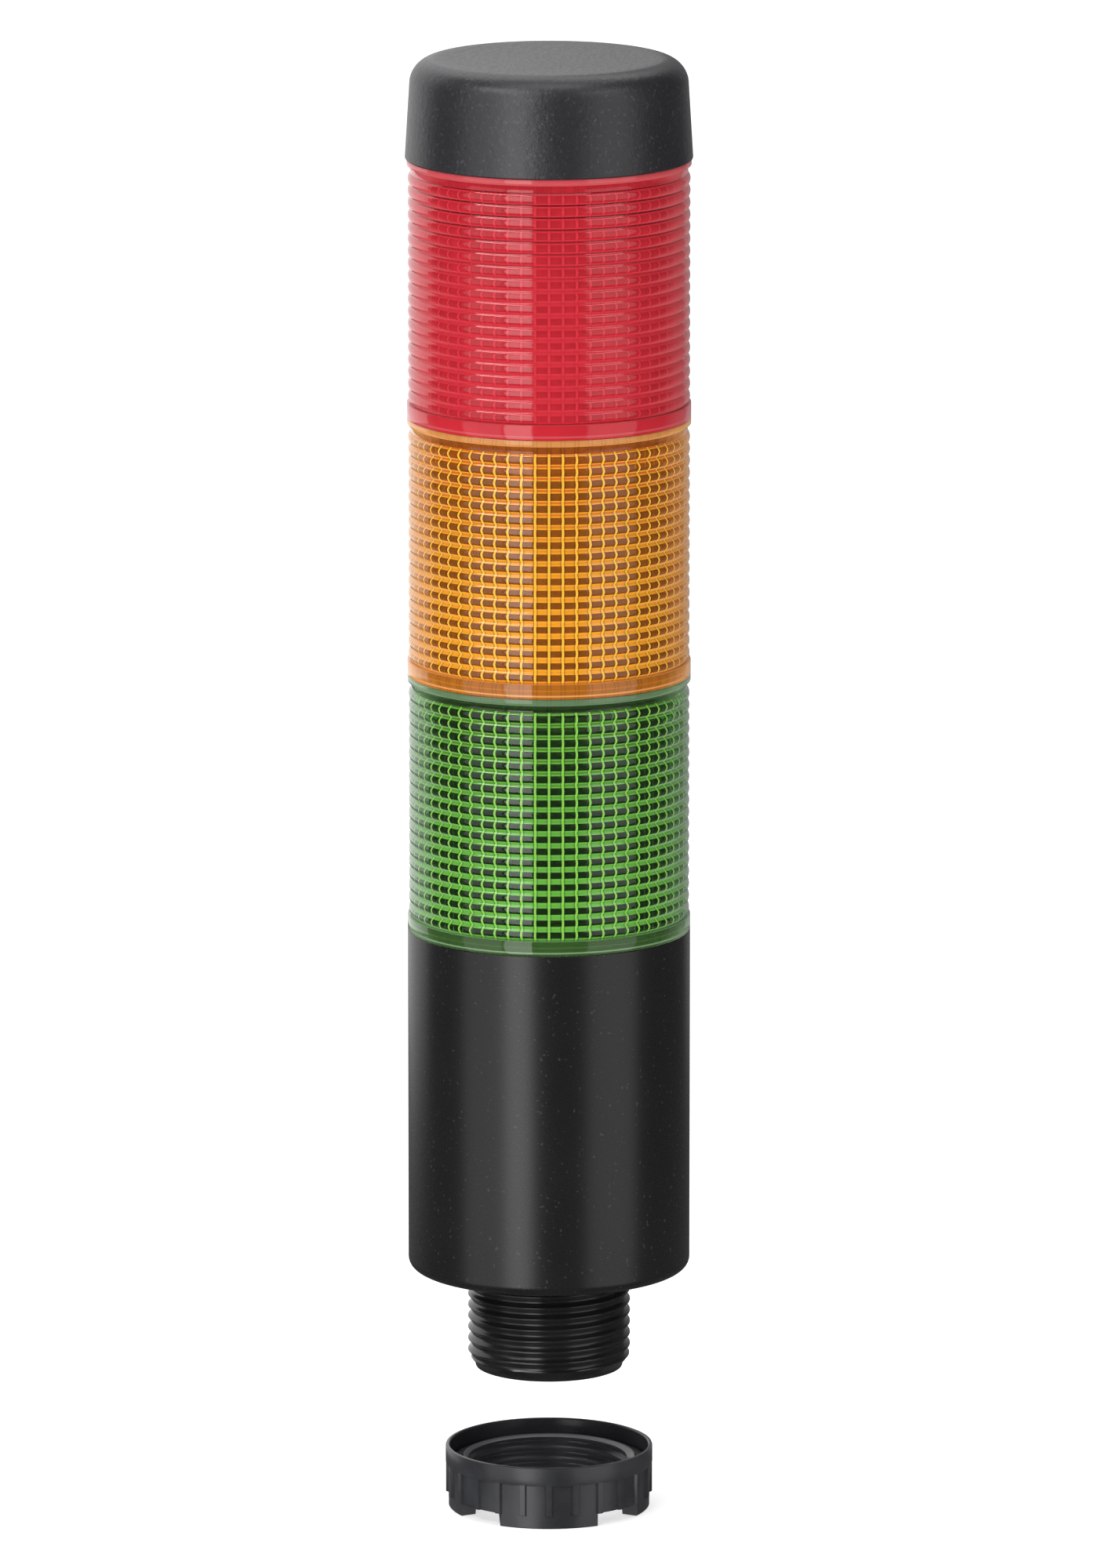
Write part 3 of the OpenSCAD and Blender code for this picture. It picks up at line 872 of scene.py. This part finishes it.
class TOWER_OT_stem(bpy.types.Operator):
    """Threaded stem with its relief, lead and pilot"""

    bl_idname = "tower.stem"
    bl_label = "Stem"

    def execute(self, context):
        s = sizes()
        angles = np.linspace(0, TAU, 240, endpoint=False)
        crest, depth, pitch = s.thread_r, s.thread_depth, s.thread_pitch
        pilot = crest - 1.0
        relief = crest - 0.8
        low_z, high_z = STEM_LOW + 0.5, -0.8
        rows = [
            (s.inlet_r, STEM_TOP - 0.3), (s.inlet_r, STEM_LOW + 0.3),
            (s.inlet_r + 0.3, STEM_LOW), (pilot - 0.25, STEM_LOW), (pilot - 0.07, STEM_LOW + 0.07),
            (pilot, STEM_LOW + 0.25),
        ]
        rows = level(rows, angles)
        for z in np.arange(low_z, high_z, pitch / 14):
            turn = (z / pitch - angles / TAU) % 1.0
            cut = thread_form(turn, depth)
            lead = np.clip((z - low_z) / 1.25, 0, 1)
            fade = np.clip((high_z - z) / 0.4, 0, 1)
            limit = pilot + (crest - pilot) * lead
            rows.append((np.minimum(crest - cut, limit) * fade + relief * (1 - fade), z))
        flange, floor = 13.6, 3.0
        rows += level((
            (relief, -0.7), (relief, floor), (flange - 0.2, floor), (flange, floor + 0.2),
            (flange, STEM_TOP - 0.2), (flange - 0.2, STEM_TOP), (s.inlet_r + 0.3, STEM_TOP),
        ), angles)
        piece = skin("stem_moulding", rows, angles, 60.0)
        finish = moulded_finish("stem_gloss_black", tuple(colours().stem), 0.22, 1800.0, 0.12)
        place_piece(piece, "base", "stem", finish)
        return {"FINISHED"}


class TOWER_OT_nut(bpy.types.Operator):
    """Ring nut with its collar, grip ribs, wrench lugs and thread"""

    bl_idname = "tower.nut"
    bl_label = "Ring nut"

    def execute(self, context):
        s = sizes()
        every = 360.0 / s.grip_count
        wrench_lugs, notch_deg = 4, 32.0
        quarter = 360.0 / wrench_lugs
        lug_deg = quarter - notch_deg
        edges = []
        for i in range(s.grip_count):
            for side in (-1, 1):
                for off in (1.55, 1.9, 2.15):
                    edges.append(-90.0 + i * every + side * off)
        for i in range(wrench_lugs):
            for side in (-1, 1):
                for off in (-0.05, 0.05):
                    edges.append(-90.0 + i * quarter + side * (lug_deg / 2 + off))
        angles = directions(480, np.radians(edges) % TAU)
        away = (np.degrees(angles) + 90.0 + every / 2) % every - every / 2
        rib = np.clip((2.1 - np.abs(away)) / 0.5, 0, 1)
        lug = span_mask(angles, -90.0, lug_deg, wrench_lugs)
        skirt = NUT_R - s.grip_depth
        side_r = skirt + rib * (s.grip_depth - 0.03)
        collar_z = NUT_TOP - s.collar_h
        foot = NUT_LOW + s.wrench_h
        low = np.where(lug, NUT_LOW, foot)
        rim = 0.55
        core, core_in = 11.4, 10.95
        groove = NUT_TOP - 3.6
        core_top = NUT_TOP - 1.6
        cup = NUT_R - rim
        rows = [
            (core - 0.2, low), (skirt - 0.12, low), (skirt, low + 0.12),
            (np.where(lug, skirt, side_r - 0.1), np.where(lug, foot - 0.02, foot + 0.02)),
            (side_r, foot + 0.12), (side_r, collar_z - 0.05),
            (NUT_R - 0.04, collar_z), (NUT_R, collar_z + 0.12), (NUT_R, NUT_TOP - 0.2),
            (NUT_R - 0.06, NUT_TOP - 0.06), (NUT_R - 0.2, NUT_TOP), (cup + 0.15, NUT_TOP),
            (cup, NUT_TOP - 0.15), (cup, groove), (core, groove), (core, core_top - 0.1),
            (core - 0.1, core_top), (core_in, core_top),
        ]
        depth, pitch = s.thread_depth, s.thread_pitch
        bore = s.thread_r + 0.06
        for z in np.arange(core_top - 0.25, foot + 0.3, -pitch / 12):
            turn = (z / pitch - angles / TAU) % 1.0
            rows.append((bore - thread_form(turn, depth), z))
        rows += [(bore + 0.1, foot + 0.15), (bore + 0.3, low)]
        piece = skin("nut_moulding", rows, angles, 40.0)
        finish = moulded_finish("nut_dark_grey", tuple(colours().nut), 0.30, 1600.0, 0.14)
        place_piece(piece, "nut", "ring_nut", finish)
        return {"FINISHED"}


class TOWER_OT_inside(bpy.types.Operator):
    """Finishes of the frame, board, lamps and other parts inside"""

    bl_idname = "tower.inside"
    bl_label = "Inside"

    def execute(self, context):
        c = colours()
        steel = metal_finish("screw_steel", (0.62, 0.63, 0.64), 0.28)
        resin = moulded_finish("part_resin", (0.012, 0.012, 0.012), 0.45)
        lamp = lamp_finish("lamp_dark", (0.020, 0.020, 0.019))
        wanted = {
            "board_frame": moulded_finish("frame_black", tuple(c.frame), 0.5),
            "main_board": board_finish(),
            "leds_red": lamp, "leds_amber": lamp, "leds_green": lamp,
            "terminal_block": moulded_finish("block_green", (0.02, 0.12, 0.035), 0.4),
            "terminal_screws": steel, "stem_screws": steel, "frame_screws": steel,
            "wire_cages": metal_finish("cage_brass", (0.70, 0.52, 0.22), 0.32),
            "rectifier": resin, "driver_chips": resin, "resistors": resin,
            "capacitors": metal_finish("can_aluminium", (0.55, 0.56, 0.58), 0.35),
            "fuse": moulded_finish("fuse_ceramic", (0.70, 0.67, 0.58), 0.5),
        }
        for node, material in wanted.items():
            dress(frame["nodes"][node], material)
        return {"FINISHED"}


def area_light(name, place, aim, size, radiance):
    """A soft panel light; places and size in metres."""
    data = bpy.data.lights.new(name, "AREA")
    data.shape = "RECTANGLE"
    data.size, data.size_y = size
    data.energy = radiance * math.pi * size[0] * size[1]
    lamp = bpy.data.objects.new(name, data)
    bpy.context.scene.collection.objects.link(lamp)
    lamp.location = place
    lamp.visible_camera = False
    lamp.rotation_mode = "QUATERNION"
    lamp.rotation_quaternion = (Vector(aim) - Vector(place)).to_track_quat("-Z", "Y")


class TOWER_OT_stage(bpy.types.Operator):
    """Pale floor, soft lights and the camera"""

    bl_idname = "tower.stage"
    bl_label = "Stage"

    def execute(self, context):
        scene = bpy.context.scene
        scene.view_settings.view_transform = "Standard"
        low = CAD_BOX[0][2]
        mesh = bpy.data.meshes.new("floor")
        half = 3.2
        mesh.from_pydata(
            [(-half, -half, low), (half, -half, low), (half, half, low), (-half, half, low)],
            [], [(0, 1, 2, 3)],
        )
        floor = bpy.data.objects.new("floor", mesh)
        scene.collection.objects.link(floor)
        pale = Finish("floor_pale")
        glow = pale.done(
            Base_Color=(0.90, 0.90, 0.90), Roughness=0.9,
            Emission_Color=(1.0, 1.0, 1.0), Emission_Strength=0.55,
        )
        dress(floor, glow)
        floor.visible_glossy = False
        world = bpy.data.worlds.new("studio")
        world.use_nodes = True
        world.node_tree.nodes["Background"].inputs["Color"].default_value = (1.0, 1.0, 1.0, 1.0)
        world.node_tree.nodes["Background"].inputs["Strength"].default_value = 0.09
        scene.world = world
        panels = (
            # name, degrees round from the eye (left positive), distance, middle height,
            # width, height, radiance
            ("left_bright", 25.0, 1.25, 0.15, 0.50, 1.6, 2.7),
            ("left_soft", 56.0, 1.25, 0.15, 0.78, 1.6, 0.85),
            ("right_soft", -53.0, 1.25, 0.15, 1.00, 1.6, 0.85),
            ("left_back", 148.0, 1.50, 0.55, 1.90, 1.7, 0.95),
            ("right_back", -166.0, 1.50, 0.55, 1.10, 1.7, 0.22),
        )
        for name, turn, away, height, wide, tall, radiance in panels:
            x, y = -away * math.sin(math.radians(turn)), -away * math.cos(math.radians(turn))
            area_light(name, (x, y, height), (0, 0, height), (wide, tall), radiance)
        area_light("left_high", (-0.62, -0.62, 1.0), (0, 0, 0.12), (0.95, 0.12), 11.0)
        area_light("right_high", (0.80, -0.60, 0.95), (0, 0, 0.12), (0.70, 0.12), 5.0)
        area_light("top_panel", (0.0, -0.35, 1.5), (0, 0, 0.1), (1.2, 0.7), 1.9)
        area_light("roof_panel", (0.0, 0.75, 1.35), (0, 0, 0.1), (1.6, 0.9), 1.6)
        data = bpy.data.cameras.new("camera")
        camera = bpy.data.objects.new("camera", data)
        scene.collection.objects.link(camera)
        camera.location = (0.0, -1.710, 0.4198)
        camera.rotation_mode = "XYZ"
        camera.rotation_euler = (math.radians(90.0 - 11.7315), 0.0, 0.0)
        data.sensor_fit = "AUTO"
        data.sensor_width = 36.0
        data.lens = 306.6
        data.clip_start, data.clip_end = 0.1, 20.0
        scene.camera = camera
        return {"FINISHED"}


PIECES = (
    TOWER_OT_base, TOWER_OT_stem, TOWER_OT_lenses, TOWER_OT_cap, TOWER_OT_seals,
    TOWER_OT_nut, TOWER_OT_inside, TOWER_OT_stage,
)


class TOWER_PT_panel(bpy.types.Panel):
    """Steps that build the signal tower"""

    bl_idname = "TOWER_PT_panel"
    bl_label = "Signal Tower"
    bl_space_type = "VIEW_3D"
    bl_region_type = "UI"
    bl_category = "Signal Tower"

    def draw(self, context):
        column = self.layout.column()
        for kind in PIECES:
            column.operator(kind.bl_idname)
        scene = context.scene
        for group in (scene.tower_sizes, scene.tower_colours):
            for key in group.bl_rna.properties.keys():
                if key not in ("rna_type", "name"):
                    column.prop(group, key)


CLASSES = (TowerSizes, TowerColours, TOWER_PT_panel) + PIECES


def register():
    for kind in CLASSES:
        bpy.utils.register_class(kind)
    bpy.types.Scene.tower_sizes = bpy.props.PointerProperty(type=TowerSizes)
    bpy.types.Scene.tower_colours = bpy.props.PointerProperty(type=TowerColours)


def unregister():
    del bpy.types.Scene.tower_colours
    del bpy.types.Scene.tower_sizes
    for kind in reversed(CLASSES):
        bpy.utils.unregister_class(kind)


def main():
    register()
    for kind in PIECES:
        group, name = kind.bl_idname.split(".")
        getattr(getattr(bpy.ops, group), name)()


if __name__ == "__main__":
    main()
